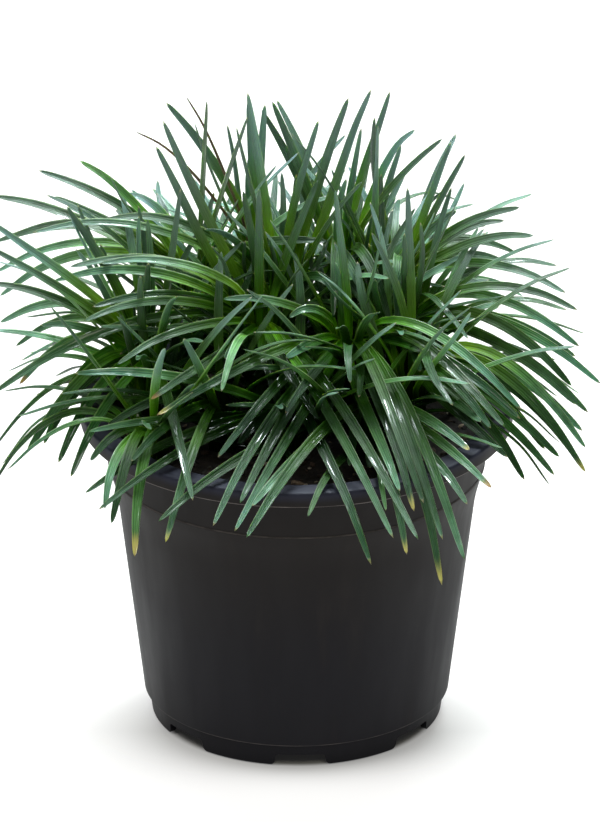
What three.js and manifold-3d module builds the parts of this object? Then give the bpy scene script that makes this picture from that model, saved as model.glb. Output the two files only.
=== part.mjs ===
// A clump of dwarf mondo grass in a round black nursery pot.
// Millimetres, +Z up, origin on the floor under the pot's axis, and the viewer on the -Y side.
import * as THREE from 'three';
import { mergeVertices } from 'three/addons/utils/BufferGeometryUtils.js';
import Module from 'manifold-3d';

const wasm = await Module();
wasm.setup();

// Pot
const RIM_RADIUS = 79.5;
const RIM_TOP = 122.5;
const LIP_HEIGHT = 5.6;
const LIP_THICKNESS = 1.5;
const FLANGE_THICKNESS = 2.1;
const COLLAR_RADIUS = 70.6;
const SHOULDER_RADIUS = 69.5;
const SHOULDER_HEIGHT = 99.8;
const WALL_TOP_RADIUS = 66.2;
const WALL_TOP = 89.5;
const WALL_FOOT_RADIUS = 56.2;
const STEP_HEIGHT = 9.3;
const FOOT_RADIUS = 54.6;
const FOOT_WIDTH = 3.6;
const WALL = 1.5;
const UNDERSIDE = 4;
const POT_FLOOR = 6;
const POT_FACETS = 48;

// Notches round the foot, and drain holes in the floor
const NOTCHES = 7;
const NOTCH_TURN = THREE.MathUtils.degToRad(1.5);
const NOTCH_WIDTH = 24;
const NOTCH_TOP_WIDTH = 18.5;
const NOTCH_HEIGHT = 4.8;
const DRAIN_RADIUS = 4.5;
const DRAIN_CIRCLE = 40;

// Soil
const SOIL_TOP = 109;
const SOIL_SWELL = 0.9;
const FIT_GAP = 0.3;
const SLIVER = 0.01; // edges shorter than this are closed up where blades fuse

// Each bunch stands in the soil on a core of leaf sheaths
const CORE_RADIUS = 5.6;
const CORE_DEPTH = 12;
const CORE_SIDES = 10;

// Leaf blades: a flat strap with a keel under it
const STATIONS = [0, 0.2, 0.4, 0.6, 0.8, 1];
const WIDTHS = [0.6, 0.9, 1, 0.93, 0.68, 0];
const LAST = STATIONS.length - 1;
const KEEL = 0.9;
const LEAF_WIDTH = [3.8, 4.6];

// More leaves fill each bunch at its sides and back. Their rise goes from the inner leaves' to
// the outer ones', and the bunches that open low have more of the outer kind.
const FILL_SEED = 12;
const FILL_LEAVES = 10;
const FILL_FROM = THREE.MathUtils.degToRad(-25);
const FILL_TO = THREE.MathUtils.degToRad(205);
const FILL_WIDTH = [3.4, 4.3];
const FILL_LENGTH = [52, 78];
const FILL_RISE = [78, -12];
const FILL_LIFT = [4, 22];
const LEAST_LIFT = 3;
const FILL_START = [0.92, 0.22];
const MID_Y = 10;
const HIGHEST = 50;

// How leaves are bent clear of each other
const BENDS = 80;
const BEND_STEP = 1.2;
const STIFFNESS = 0.04;
const HOLD = [0, 0.5, 0.85, 1, 1, 1];
const SPREAD = new THREE.Vector3(112, 105, 300);
const REACH = 7;

// The leaves are laid out as seen from the front, looking down by this angle
const VIEW_TILT = THREE.MathUtils.degToRad(24.8);
const TO_VIEWER = new THREE.Vector3(0, -Math.cos(VIEW_TILT), Math.sin(VIEW_TILT));
const UP = new THREE.Vector3(0, 0, 1);

// The bunches. at: plan position; height: where its leaves open, above the soil.
// Each leaf: its tip's place across and up in the view, how far back it lies, and the lift of its arch.
const BUNCHES = {
  tuft_back_left: {
    at: [-38, 44],
    height: 50,
    leaves: [
      [-95, 197, 55, 8], [-80, 200, 46, 9], [-112, 187, 62, 7], [-106, 173, 56, 16],
      [-114, 171, 66, 14], [-112, 159, 70, 18], [-110, 150, 48, 20], [-33, 222, 42, 1],
      [-18, 216, 34, 3], [-53, 185, 62, 2], [-64, 188, 52, 12], [-27, 178, 30, 1], [-89, 187, 44, 3],
      [12, 170, 36, 6],
    ],
  },
  tuft_left: {
    at: [-54, 10],
    height: 32,
    leaves: [
      [-84, 183, 14, 4], [-113, 178, 4, 4], [-114, 168, -6, 4], [-113, 155, 4, 8],
      [-109, 141, 22, 16], [-104, 131, 20, 16], [-94, 139, 0, 10], [-99, 93, -16, 14],
      [-92, 95, 4, 16], [-84, 97, 2, 12], [-102, 118, 14, 20], [-88, 128, 18, 10],
      [-82, 87, -26, 12], [-69, 76, -36, 12], [-36, 73, -84, 8],
    ],
  },
  tuft_mid_left: {
    at: [-13, 20],
    height: 41,
    leaves: [
      [-52, 205, 40, 2], [-49, 215, 48, 2], [-71, 162, -6, 14], [-89, 154, 8, 16],
      [-112, 114, -14, 18], [-4, 102, -38, 3], [-75, 146, -6, 10], [-78, 141, -12, 12],
      [9, 102, -44, 3], [45, 62, -104, 6], [25, 45, -105, 8], [35, 62, -103, 6],
      [-53, 112, -48, 2], [-26, 127, -20, 2], [-83, 161, 0, 16], [-65, 123, -30, 12],
    ],
  },
  tuft_mid_back: {
    at: [-5, 38],
    height: 41,
    leaves: [
      [-97, 173, 12, 22], [-71, 178, 34, 14], [-19, 176, 34, 1], [-18, 225, 46, 1],
      [8, 216, 40, 1], [28, 226, 50, 9], [19, 223, 44, 7], [24, 192, 26, 8],
      [-5, 165, 36, 1], [17, 149, 12, 14], [-12, 177, 50, 1], [-22, 212, 30, 2], [6, 180, 44, 1],
    ],
  },
  tuft_rear: {
    at: [-12, 60],
    height: 46,
    leaves: [
      [-48, 222, 66, 8], [-18, 222, 62, 2], [-12, 221, 66, 2], [-41, 224, 62, 10],
      [-60, 211, 64, 14],
    ],
  },
  tuft_back: {
    at: [17, 54],
    height: 46,
    leaves: [
      [34, 226, 56, 3], [-9, 222, 60, 3], [-13, 219, 68, 6], [44, 212, 62, 15],
      [39, 206, 54, 3], [53, 208, 40, 8], [22, 182, 50, 1], [26, 147, 16, 20],
      [13, 142, 8, 24], [33, 139, 4, 24],
    ],
  },
  tuft_back_right: {
    at: [35, 44],
    height: 46,
    leaves: [
      [23, 168, 34, 2], [57, 207, 44, 3], [62, 202, 34, 3], [59, 182, 50, 3],
      [82, 183, 28, 8], [77, 178, 50, 10], [87, 172, 20, 8], [69, 172, 66, 8],
      [81, 167, 66, 12], [76, 163, 58, 10], [99, 151, 12, 15], [37, 138, 0, 26],
    ],
  },
  tuft_right: {
    at: [38, 22],
    height: 40,
    leaves: [
      [103, 145, 4, 16], [104, 132, 12, 18], [98, 138, 34, 14], [103, 128, 22, 12],
      [112, 118, 8, 16], [101, 117, 0, 20], [107, 107, -6, 16], [103, 110, 6, 14],
    ],
  },
  tuft_right_front: {
    at: [42, -4],
    height: 34,
    leaves: [
      [105, 101, -16, 14], [71, 102, -48, 8], [106, 95, -24, 18], [106, 86, -30, 20],
      [104, 89, -28, 18], [96, 91, -30, 14], [91, 94, -22, 12], [93, 83, -36, 12],
      [82, 82, -46, 12], [74, 89, -42, 6],
    ],
  },
  tuft_centre: {
    at: [19, 14],
    height: 37,
    leaves: [
      [82, 105, -34, 14], [76, 102, -48, 16], [82, 109, -38, 18], [32, 101, -42, 2],
      [29, 103, -38, 2], [-4, 128, -26, 2], [-4, 107, -48, 3], [-3, 142, 0, 10],
      [-27, 149, 0, 8], [7, 100, -44, 3], [62, 54, -98, 12], [53, 62, -98, 12],
      [46, 75, -88, 12], [51, 43, -105, 14], [42, 71, -88, 9], [36, 78, -84, 7],
      [-31, 66, -97, 6], [-22, 64, -99, 6], [-20, 74, -88, 6], [-29, 91, -64, 3],
      [-51, 107, -50, 7],
    ],
  },
  tuft_front_right: {
    at: [26, -16],
    height: 22,
    leaves: [
      [27, 87, -58, 5], [19, 88, -56, 5], [61, 74, -82, 7], [63, 94, -64, 5],
      [71, 80, -74, 6], [40, 55, -103, 12], [-50, 65, -92, 8], [-19, 61, -100, 9],
      [-15, 72, -86, 6],
    ],
  },
  tuft_front: {
    at: [-2, -16],
    height: 19,
    leaves: [
      [-81, 122, -34, 7], [-72, 72, -78, 9], [-78, 77, -66, 8], [-76, 98, -42, 4],
      [17, 82, -62, 5], [-21, 96, -48, 6],
    ],
  },
  tuft_front_left: {
    at: [-27, -12],
    height: 22,
    leaves: [
      [-48, 59, -96, 13], [-69, 103, -34, 6], [-60, 88, -60, 8],
    ],
  },
  tuft_left_front: {
    at: [-52, -22],
    height: 14,
    leaves: [
      [-58, 55, -88, 15], [-68, 67, -80, 12], [-68, 71, -76, 10], [-74, 89, -48, 6],
    ],
  },
};

// A generator of even random numbers from 0 to 1, the same for every run.
function randomFrom(seed) {
  let state = seed;
  return () => {
    state = (state + 0x6d2b79f5) | 0;
    let mixed = Math.imul(state ^ (state >>> 15), 1 | state);
    mixed = (mixed + Math.imul(mixed ^ (mixed >>> 7), 61 | mixed)) ^ mixed;
    return ((mixed ^ (mixed >>> 14)) >>> 0) / 4294967296;
  };
}

// Solids and geometries
function solidOf(geometry) {
  geometry.deleteAttribute('normal');
  geometry.deleteAttribute('uv');
  const merged = mergeVertices(geometry, 1e-3);
  return new wasm.Manifold(new wasm.Mesh({
    numProp: 3,
    vertProperties: new Float32Array(merged.attributes.position.array),
    triVerts: new Uint32Array(merged.index.array),
  }));
}

function geometryOf(solid) {
  const mesh = solid.getMesh();
  const geometry = new THREE.BufferGeometry();
  geometry.setAttribute('position', new THREE.BufferAttribute(mesh.vertProperties, 3));
  geometry.setIndex(new THREE.BufferAttribute(mesh.triVerts, 1));
  return geometry;
}

// Turns a closed outline of [radius, height] points about Z.
function turned(outline, facets) {
  const points = outline.map(([radius, height]) => new THREE.Vector2(radius, height));
  points.push(points[0].clone());
  return new THREE.LatheGeometry(points, facets).rotateX(Math.PI / 2);
}

function postAt(x, y, low, high, radius, sides) {
  const geometry = new THREE.CylinderGeometry(radius, radius, high - low, sides);
  return geometry.rotateX(Math.PI / 2).translate(x, y, (low + high) / 2);
}

// Radius of the pot's outer wall between the step and the shoulder's curve
function wallRadius(height) {
  const share = (height - STEP_HEIGHT) / (WALL_TOP - STEP_HEIGHT);
  return THREE.MathUtils.lerp(WALL_FOOT_RADIUS, WALL_TOP_RADIUS, share);
}

function potSolid() {
  const underFlange = RIM_TOP - FLANGE_THICKNESS;
  const outside = [
    [FOOT_RADIUS - FOOT_WIDTH, 0],
    [FOOT_RADIUS - 1.8, 0],
    [FOOT_RADIUS - 0.8, 1.1],
    [FOOT_RADIUS, STEP_HEIGHT - 0.9],
    [WALL_FOOT_RADIUS, STEP_HEIGHT],
    [WALL_TOP_RADIUS, WALL_TOP],
    [SHOULDER_RADIUS - 0.9, SHOULDER_HEIGHT - 3.4],
    [SHOULDER_RADIUS, SHOULDER_HEIGHT],
    [SHOULDER_RADIUS - 0.4, SHOULDER_HEIGHT + 0.5],
    [COLLAR_RADIUS, underFlange],
    [RIM_RADIUS - LIP_THICKNESS, underFlange],
    [RIM_RADIUS - LIP_THICKNESS, RIM_TOP - LIP_HEIGHT],
    [RIM_RADIUS, RIM_TOP - LIP_HEIGHT],
    [RIM_RADIUS, RIM_TOP - 1.6],
    [RIM_RADIUS - 1.2, RIM_TOP],
  ];
  const inside = [
    [COLLAR_RADIUS + 0.8, RIM_TOP],
    [COLLAR_RADIUS - WALL, RIM_TOP - 2.4],
    [SHOULDER_RADIUS - WALL, SHOULDER_HEIGHT],
    [WALL_TOP_RADIUS - WALL, WALL_TOP],
    [WALL_FOOT_RADIUS - WALL, STEP_HEIGHT],
    [WALL_FOOT_RADIUS - WALL - 1.2, POT_FLOOR],
    [0, POT_FLOOR],
    [0, UNDERSIDE],
    [FOOT_RADIUS - FOOT_WIDTH, UNDERSIDE],
  ];
  let pot = solidOf(turned([...outside, ...inside], POT_FACETS));

  const bottom = -1;
  const outline = new THREE.Shape();
  outline.moveTo(-NOTCH_WIDTH / 2 - 1, bottom);
  outline.lineTo(-NOTCH_WIDTH / 2, 0);
  outline.quadraticCurveTo(-NOTCH_TOP_WIDTH / 2, 0.6, -NOTCH_TOP_WIDTH / 2, NOTCH_HEIGHT);
  outline.lineTo(NOTCH_TOP_WIDTH / 2, NOTCH_HEIGHT);
  outline.quadraticCurveTo(NOTCH_TOP_WIDTH / 2, 0.6, NOTCH_WIDTH / 2, 0);
  outline.lineTo(NOTCH_WIDTH / 2 + 1, bottom);
  const notchDepth = FOOT_WIDTH + 4;
  const notch = new THREE.ExtrudeGeometry(outline, { depth: notchDepth, bevelEnabled: false, curveSegments: 4 });
  notch.rotateX(Math.PI / 2).translate(0, -FOOT_RADIUS + notchDepth - 2, 0);
  for (let k = 0; k < NOTCHES; k++) {
    const turn = NOTCH_TURN + (2 * Math.PI * k) / NOTCHES;
    pot = pot.subtract(solidOf(notch.clone().rotateZ(turn)));
    const between = turn + Math.PI / NOTCHES;
    const x = DRAIN_CIRCLE * Math.sin(between);
    const y = DRAIN_CIRCLE * Math.cos(between);
    pot = pot.subtract(solidOf(postAt(x, y, UNDERSIDE - 1, POT_FLOOR + 1, DRAIN_RADIUS, 12)));
  }
  return pot;
}

// The soil fills the pot, and its top swells a little.
function soilSolid() {
  const side = WALL + FIT_GAP;
  const rings = [56, 36];
  const outline = [
    [0, POT_FLOOR + FIT_GAP],
    [wallRadius(POT_FLOOR) - side - 1.4, POT_FLOOR + FIT_GAP],
    [WALL_FOOT_RADIUS - side, STEP_HEIGHT],
    [WALL_TOP_RADIUS - side, WALL_TOP],
    [SHOULDER_RADIUS - side, SHOULDER_HEIGHT],
    [SHOULDER_RADIUS + 0.4 - side, SOIL_TOP - 0.6],
    ...rings.map((radius) => [radius, SOIL_TOP]),
    [0, SOIL_TOP],
  ];
  const geometry = turned(outline, POT_FACETS);
  const position = geometry.attributes.position;
  for (let i = 0; i < position.count; i++) {
    const [x, y] = [position.getX(i), position.getY(i)];
    const swell = Math.sin(x * 0.11 + 1.3) * Math.cos(y * 0.13 - 0.4) + 0.5 * Math.sin(x * 0.31 - y * 0.27);
    if (position.getZ(i) === SOIL_TOP) {
      position.setZ(i, SOIL_TOP + (SOIL_SWELL * swell) / 1.5);
    }
  }
  let soil = solidOf(geometry);
  for (const { at } of Object.values(BUNCHES)) {
    const hole = postAt(at[0], at[1], SOIL_TOP - CORE_DEPTH - FIT_GAP, SOIL_TOP + 4, CORE_RADIUS + 0.4, CORE_SIDES);
    soil = soil.subtract(solidOf(hole));
  }
  return soil;
}

// A leaf is the points of its middle line, from the bunch's core to the tip.
function leafTo(name, tip, lift, start, look) {
  const { at, height } = BUNCHES[name];
  const heading = new THREE.Vector3(tip.x - at[0], tip.y - at[1], 0).normalize();
  const root = new THREE.Vector3(at[0], at[1], SOIL_TOP + height * start).addScaledVector(heading, 2);
  const curve = new THREE.CubicBezierCurve3(
    root,
    root.clone().lerp(tip, 0.25).addScaledVector(UP, lift),
    root.clone().lerp(tip, 0.65).addScaledVector(UP, lift),
    tip,
  );
  return { name, heading, points: STATIONS.map((share) => curve.getPoint(share)), ...look };
}

// The leaves that show, and then the others that fill the bunches.
function layOutLeaves() {
  const random = randomFrom(FILL_SEED);
  const between = ([low, high]) => low + (high - low) * random();
  const leaves = [];
  for (const [name, bunch] of Object.entries(BUNCHES)) {
    for (const [across, up, back, lift] of bunch.leaves) {
      const height = (up - back * Math.sin(VIEW_TILT)) / Math.cos(VIEW_TILT);
      const look = { width: between(LEAF_WIDTH), facing: 0.6, roll: 0 };
      leaves.push(leafTo(name, new THREE.Vector3(across, back, height), lift, FILL_START[0], look));
    }
  }
  for (const [name, { at, height }] of Object.entries(BUNCHES)) {
    for (let k = 0; k < FILL_LEAVES; k++) {
      const turn = THREE.MathUtils.lerp(FILL_FROM, FILL_TO, (k + random()) / FILL_LEAVES);
      const heading = new THREE.Vector3(Math.cos(turn), Math.sin(turn), 0);
      const outward = (heading.x * at[0] + heading.y * (at[1] - MID_Y)) / 60;
      const low = 0.35 * (1 - height / HIGHEST);
      const lean = THREE.MathUtils.clamp(between([0.1, 0.85]) + 0.25 * outward + low, 0, 1);
      const rise = THREE.MathUtils.degToRad(THREE.MathUtils.lerp(...FILL_RISE, lean));
      const length = between(FILL_LENGTH);
      const lift = LEAST_LIFT + lean * between(FILL_LIFT);
      const start = THREE.MathUtils.lerp(...FILL_START, lean);
      const tip = new THREE.Vector3(at[0], at[1], SOIL_TOP + height * start + length * Math.sin(rise));
      tip.addScaledVector(heading, length * Math.cos(rise));
      const look = { width: between(FILL_WIDTH), facing: 0, roll: between([-0.35, 0.35]) };
      leaves.push(leafTo(name, tip, lift, start, look));
    }
  }
  return leaves;
}

// Across and normal directions of the strap at each point: level across its heading, then rolled.
function strapFrames(leaf) {
  const level = new THREE.Vector3(-leaf.heading.y, leaf.heading.x, 0);
  return leaf.points.map((_, i) => {
    const before = leaf.points[Math.max(0, i - 1)];
    const along = leaf.points[Math.min(LAST, i + 1)].clone().sub(before).normalize();
    const side = level.clone().addScaledVector(along, -level.dot(along)).normalize();
    const normal = new THREE.Vector3().crossVectors(along, side);
    if (normal.z < 0) {
      normal.negate();
    }
    const toViewer = Math.atan2(TO_VIEWER.dot(side), TO_VIEWER.dot(normal));
    const roll = THREE.MathUtils.clamp(leaf.facing * toViewer, -0.7, 0.7) + leaf.roll;
    return {
      side: side.clone().multiplyScalar(Math.cos(roll)).addScaledVector(normal, -Math.sin(roll)),
      normal: normal.multiplyScalar(Math.cos(roll)).addScaledVector(side, Math.sin(roll)),
    };
  });
}

// Shares along two straight pieces, from p by d and from q by e, where they are closest.
function closestShares(p, d, q, e) {
  const between = p.clone().sub(q);
  const [dd, ee, de] = [d.dot(d), e.dot(e), d.dot(e)];
  const [db, eb] = [d.dot(between), e.dot(between)];
  const spread = dd * ee - de * de;
  let u = spread > 1e-9 ? THREE.MathUtils.clamp((de * eb - db * ee) / spread, 0, 1) : 0.5;
  let v = (de * u + eb) / ee;
  if (v < 0) {
    v = 0;
    u = THREE.MathUtils.clamp(-db / dd, 0, 1);
  } else if (v > 1) {
    v = 1;
    u = THREE.MathUtils.clamp((de - db) / dd, 0, 1);
  }
  return [u, v];
}

// Adds the push that parts one piece of leaf a from one of leaf b, where they lie too close.
function partPieces(a, i, b, j, strength) {
  const d = a.points[i + 1].clone().sub(a.points[i]);
  const e = b.points[j + 1].clone().sub(b.points[j]);
  const middles = a.points[i].clone().addScaledVector(d, 0.5).sub(b.points[j]).addScaledVector(e, -0.5);
  if (middles.length() > (d.length() + e.length()) / 2 + REACH) {
    return;
  }
  const [u, v] = closestShares(a.points[i], d, b.points[j], e);
  const apart = a.points[i].clone().addScaledVector(d, u).sub(b.points[j]).addScaledVector(e, -v);
  const distance = apart.length();
  if (distance < 0.05) {
    apart.crossVectors(d, e);
    apart.multiplyScalar(apart.z < 0 ? -1 : 1);
  }
  apart.normalize();
  const widthA = a.width * THREE.MathUtils.lerp(WIDTHS[i], WIDTHS[i + 1], u);
  const widthB = b.width * THREE.MathUtils.lerp(WIDTHS[j], WIDTHS[j + 1], v);
  const across = widthA * Math.abs(apart.dot(a.frames[u > 0.5 ? i + 1 : i].side))
    + widthB * Math.abs(apart.dot(b.frames[v > 0.5 ? j + 1 : j].side));
  const short = KEEL + 0.45 + across / 2 - distance;
  if (short > 0) {
    a.pushes[i].addScaledVector(apart, short * strength * (1 - u));
    a.pushes[i + 1].addScaledVector(apart, short * strength * u);
    b.pushes[j].addScaledVector(apart, -short * strength * (1 - v));
    b.pushes[j + 1].addScaledVector(apart, -short * strength * v);
  }
}

// Adds the pushes that keep a leaf off the soil, the pot's rim and the other bunches' cores.
function keepOff(leaf) {
  const rimClear = RIM_TOP + 3;
  const wallClear = RIM_RADIUS + 3.5;
  for (let i = 1; i < LAST; i++) {
    for (const share of [0, 0.25, 0.5, 0.75]) {
      const point = leaf.points[i].clone().lerp(leaf.points[i + 1], share);
      const radius = Math.hypot(point.x, point.y);
      const push = (direction, amount) => {
        leaf.pushes[i].addScaledVector(direction, amount * (1 - share));
        leaf.pushes[i + 1].addScaledVector(direction, amount * share);
      };
      if (point.z < SOIL_TOP + 3 && radius < COLLAR_RADIUS - 2.6) {
        push(UP, SOIL_TOP + 3 - point.z);
      }
      if (radius > COLLAR_RADIUS - 3.6 && radius < wallClear && point.z < rimClear) {
        const outward = new THREE.Vector3(point.x, point.y, 0).normalize();
        const over = rimClear - point.z < wallClear - radius || radius < COLLAR_RADIUS + 2.4;
        push(over ? UP : outward, over ? rimClear - point.z : wallClear - radius);
      }
      for (const [name, { at, height }] of Object.entries(BUNCHES)) {
        const away = new THREE.Vector3(point.x - at[0], point.y - at[1], 0);
        const short = CORE_RADIUS + 3 - away.length();
        if (name !== leaf.name && short > 0 && point.z < SOIL_TOP + height + 2) {
          push(away.normalize(), short);
        }
      }
    }
  }
}

// How far a leaf's middle line turns at each point
function bendsOf({ points }) {
  return points.map((point, i) => {
    if (i === 0 || i === LAST) {
      return new THREE.Vector3();
    }
    return points[i - 1].clone().add(points[i + 1]).addScaledVector(point, -2);
  });
}

// Adds the pushes that bring a leaf back to the shape that it grew in.
function straighten(leaf) {
  bendsOf(leaf).forEach((bend, i) => {
    const excess = bend.sub(leaf.grown[i]).multiplyScalar(STIFFNESS);
    leaf.pushes[i].add(excess);
    if (i > 0 && i < LAST) {
      leaf.pushes[i - 1].addScaledVector(excess, -0.5);
      leaf.pushes[i + 1].addScaledVector(excess, -0.5);
    }
  });
}

// Bends the leaves a little at a time, until they lie clear of each other.
function bendClear(leaves) {
  for (const leaf of leaves) {
    leaf.grown = bendsOf(leaf);
  }
  for (let step = 0; step < BENDS; step++) {
    for (const leaf of leaves) {
      leaf.frames = strapFrames(leaf);
      leaf.pushes = leaf.points.map(() => new THREE.Vector3());
      leaf.box = new THREE.Box3().setFromPoints(leaf.points).expandByScalar(REACH / 2);
    }
    leaves.forEach((a, n) => {
      for (const b of leaves.slice(n + 1)) {
        if (!a.box.intersectsBox(b.box)) {
          continue;
        }
        const mates = a.name === b.name;
        const first = mates ? 1 : 0;
        for (let i = first; i < LAST; i++) {
          for (let j = first; j < LAST; j++) {
            partPieces(a, i, b, j, mates ? 0.25 : 0.45);
          }
        }
      }
    });
    for (const leaf of leaves) {
      keepOff(leaf);
      straighten(leaf);
      leaf.points.forEach((point, i) => {
        point.addScaledVector(leaf.pushes[i].clampLength(0, BEND_STEP), HOLD[i]);
        point.clamp(SPREAD.clone().negate(), SPREAD);
      });
    }
  }
  return leaves;
}

// A blade is three-sided: its two edges and its keel, drawn to a point at the tip.
function bladeSolid(leaf, extra = 0) {
  const frames = strapFrames(leaf);
  const corners = [];
  leaf.points.forEach((point, i) => {
    const half = (leaf.width * WIDTHS[i]) / 2 + extra;
    const { side, normal } = frames[i];
    if (i === LAST) {
      corners.push(point);
      return;
    }
    corners.push(point.clone().addScaledVector(side, half).addScaledVector(normal, extra));
    corners.push(point.clone().addScaledVector(side, -half).addScaledVector(normal, extra));
    corners.push(point.clone().addScaledVector(normal, -KEEL - extra));
  });
  const faces = [[0, 2, 1]];
  for (let i = 0; i < LAST; i++) {
    for (const [near, next] of [[0, 1], [1, 2], [2, 0]]) {
      const [a, b] = [3 * i + near, 3 * i + next];
      if (i === LAST - 1) {
        faces.push([a, b, 3 * LAST]);
      } else {
        faces.push([a, b, b + 3], [a, b + 3, a + 3]);
      }
    }
  }
  const rightHanded = new THREE.Vector3().crossVectors(frames[0].side, frames[0].normal)
    .dot(leaf.points[1].clone().sub(leaf.points[0])) > 0;
  return new wasm.Manifold(new wasm.Mesh({
    numProp: 3,
    vertProperties: new Float32Array(corners.flatMap((corner) => corner.toArray())),
    triVerts: new Uint32Array((rightHanded ? faces : faces.map((face) => face.toReversed())).flat()),
  }));
}

function touches(one, other) {
  const [a, b] = [one.boundingBox(), other.boundingBox()];
  if ([0, 1, 2].some((axis) => a.min[axis] > b.max[axis] || b.min[axis] > a.max[axis])) {
    return false;
  }
  return one.intersect(other).numTri() > 0;
}

// Leaves out loose scraps, and fills what fusing has sealed.
function largestOf(solid) {
  return solid.decompose().reduce((most, piece) => (piece.volume() > most.volume() ? piece : most));
}

// Each bunch is one body: its core with its blades. A blade that still comes too near the pot,
// the soil or another bunch is left out.
function bunchSolids(pot, soil) {
  const bodies = Object.entries(BUNCHES).map(([name, { at, height }]) => {
    const core = postAt(at[0], at[1], SOIL_TOP - CORE_DEPTH, SOIL_TOP + height, CORE_RADIUS, CORE_SIDES);
    return { name, solid: solidOf(core) };
  });
  for (const leaf of bendClear(layOutLeaves())) {
    const wide = bladeSolid(leaf, FIT_GAP);
    const others = bodies.filter((body) => body.name !== leaf.name).map((body) => body.solid);
    if (![pot, soil, ...others].some((solid) => touches(wide, solid))) {
      bodies.push({ name: leaf.name, solid: bladeSolid(leaf) });
    }
  }
  return Object.keys(BUNCHES).map((name) => {
    const parts = bodies.filter((body) => body.name === name).map((body) => body.solid);
    return [name, largestOf(parts.reduce((sum, part) => sum.add(part)).simplify(SLIVER))];
  });
}

// Materials
const plastic = new THREE.MeshStandardMaterial({ color: 0x222226, roughness: 0.5, metalness: 0 });
const potting = new THREE.MeshStandardMaterial({ color: 0x1a1310, roughness: 0.95, metalness: 0 });
const green = new THREE.MeshStandardMaterial({ color: 0x2f5a3a, roughness: 0.4, metalness: 0 });

function named(name, solid, material) {
  const mesh = new THREE.Mesh(geometryOf(solid), material);
  mesh.name = name;
  return mesh;
}

const pot = potSolid();
const soil = soilSolid();
const plant = new THREE.Group();
plant.add(named('pot', pot, plastic));
plant.add(named('soil', soil, potting));
for (const [name, solid] of bunchSolids(pot, soil)) {
  plant.add(named(name, solid, green));
}

export default plant;
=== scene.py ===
"""The looks of a clump of dwarf mondo grass in a round black nursery pot.

Metres, +Z up, with the viewer on the -Y side. The leaves are laid out in millimetres, and every
mesh is scaled to metres when it is made.
"""
import math

import bmesh
import bpy
import numpy as np
from mathutils import Matrix, Vector


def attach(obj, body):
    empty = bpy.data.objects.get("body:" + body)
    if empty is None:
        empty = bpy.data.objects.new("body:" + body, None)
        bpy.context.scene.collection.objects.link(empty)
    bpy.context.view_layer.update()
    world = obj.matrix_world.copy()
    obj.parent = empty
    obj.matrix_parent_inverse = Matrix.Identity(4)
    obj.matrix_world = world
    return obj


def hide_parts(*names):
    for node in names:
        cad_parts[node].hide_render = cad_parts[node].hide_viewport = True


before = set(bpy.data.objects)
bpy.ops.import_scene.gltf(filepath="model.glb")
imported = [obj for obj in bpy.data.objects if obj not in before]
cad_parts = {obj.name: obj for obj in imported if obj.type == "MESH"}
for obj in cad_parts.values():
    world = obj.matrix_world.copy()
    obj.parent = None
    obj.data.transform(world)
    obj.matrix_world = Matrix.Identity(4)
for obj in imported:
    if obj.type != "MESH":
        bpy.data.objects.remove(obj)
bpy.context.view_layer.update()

MM = 0.001

# View: elevation of the camera, its distance, and where the photograph has the floor's origin
IMAGE = (600, 822)
ORIGIN_PX = (296.6, 702.6)
PX_PER_MM = 2.7
VIEW_TILT = math.radians(24.8)
CAMERA_DISTANCE = 6.0
SENSOR = 36.0

# Pot
RIM_RADIUS = 79.5
RIM_TOP = 122.5
LIP_HEIGHT = 5.6
LIP_THICKNESS = 1.5
FLANGE_THICKNESS = 2.1
COLLAR_RADIUS = 70.6
SHOULDER_RADIUS = 69.5
SHOULDER_HEIGHT = 99.8
WALL_TOP_RADIUS = 66.2
WALL_TOP = 89.5
WALL_FOOT_RADIUS = 56.2
STEP_HEIGHT = 9.3
FOOT_RADIUS = 54.6
FOOT_WIDTH = 3.6
WALL = 1.5
UNDERSIDE = 4
POT_FLOOR = 6
NOTCHES = 7
NOTCH_TURN = math.radians(1.5)
NOTCH_WIDTH = 24
NOTCH_TOP_WIDTH = 18.5
NOTCH_HEIGHT = 4.8
DRAIN_RADIUS = 4.5
DRAIN_CIRCLE = 40
POT_FACETS = 192

# Painted highlights along edges of the pot. Each: its height, how far the highlight reaches, and how strong
# it is
PAINTED_EDGE_HIGHLIGHTS = (
    (RIM_TOP - LIP_HEIGHT, 0.5, 0.75),
    (SHOULDER_HEIGHT + 0.2, 0.35, 0.35),
    (STEP_HEIGHT, 0.45, 0.35),
)

# Heights between which the pot turns brownish, and between which its rim has a painted bluish sheen
BROWN_FROM = (35.0, 100.0)
PAINTED_RIM_SHEEN = (RIM_TOP - 4.6, RIM_TOP - 0.6)

# Soil
SOIL_TOP = 109
FIT_GAP = 0.3

# The bunches' cores, and the straps as they are laid out
CORE_RADIUS = 5.6
STATIONS = np.array([0, 0.2, 0.4, 0.6, 0.8, 1])[:, None]
ARC = [(1 - STATIONS) ** 3, 3 * STATIONS * (1 - STATIONS) ** 2, 3 * STATIONS**2 * (1 - STATIONS), STATIONS**3]
WIDTHS = np.array([0.6, 0.9, 1, 0.93, 0.68, 0])
LAST = len(STATIONS) - 1
KEEL = 0.9
LEAF_WIDTH = (3.8, 4.6)
FILL_SEED = 12
FILL_LEAVES = 10
FILL_TURN = (math.radians(-25), math.radians(205))
FILL_WIDTH = (3.4, 4.3)
FILL_LENGTH = (52, 78)
FILL_RISE = (78, -12)
FILL_LIFT = (4, 22)
LEAST_LIFT = 3
FILL_START = (0.92, 0.22)
ROLL = (-0.35, 0.35)
MID_Y = 10
HIGHEST = 50
BENDS = 80
BEND_STEP = 1.2
STIFFNESS = 0.04
HOLD = np.array([0, 0.5, 0.85, 1, 1, 1])
SPREAD = np.array([112, 105, 300])
REACH = 7
QUARTERS = (0, 0.25, 0.5, 0.75)

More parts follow.
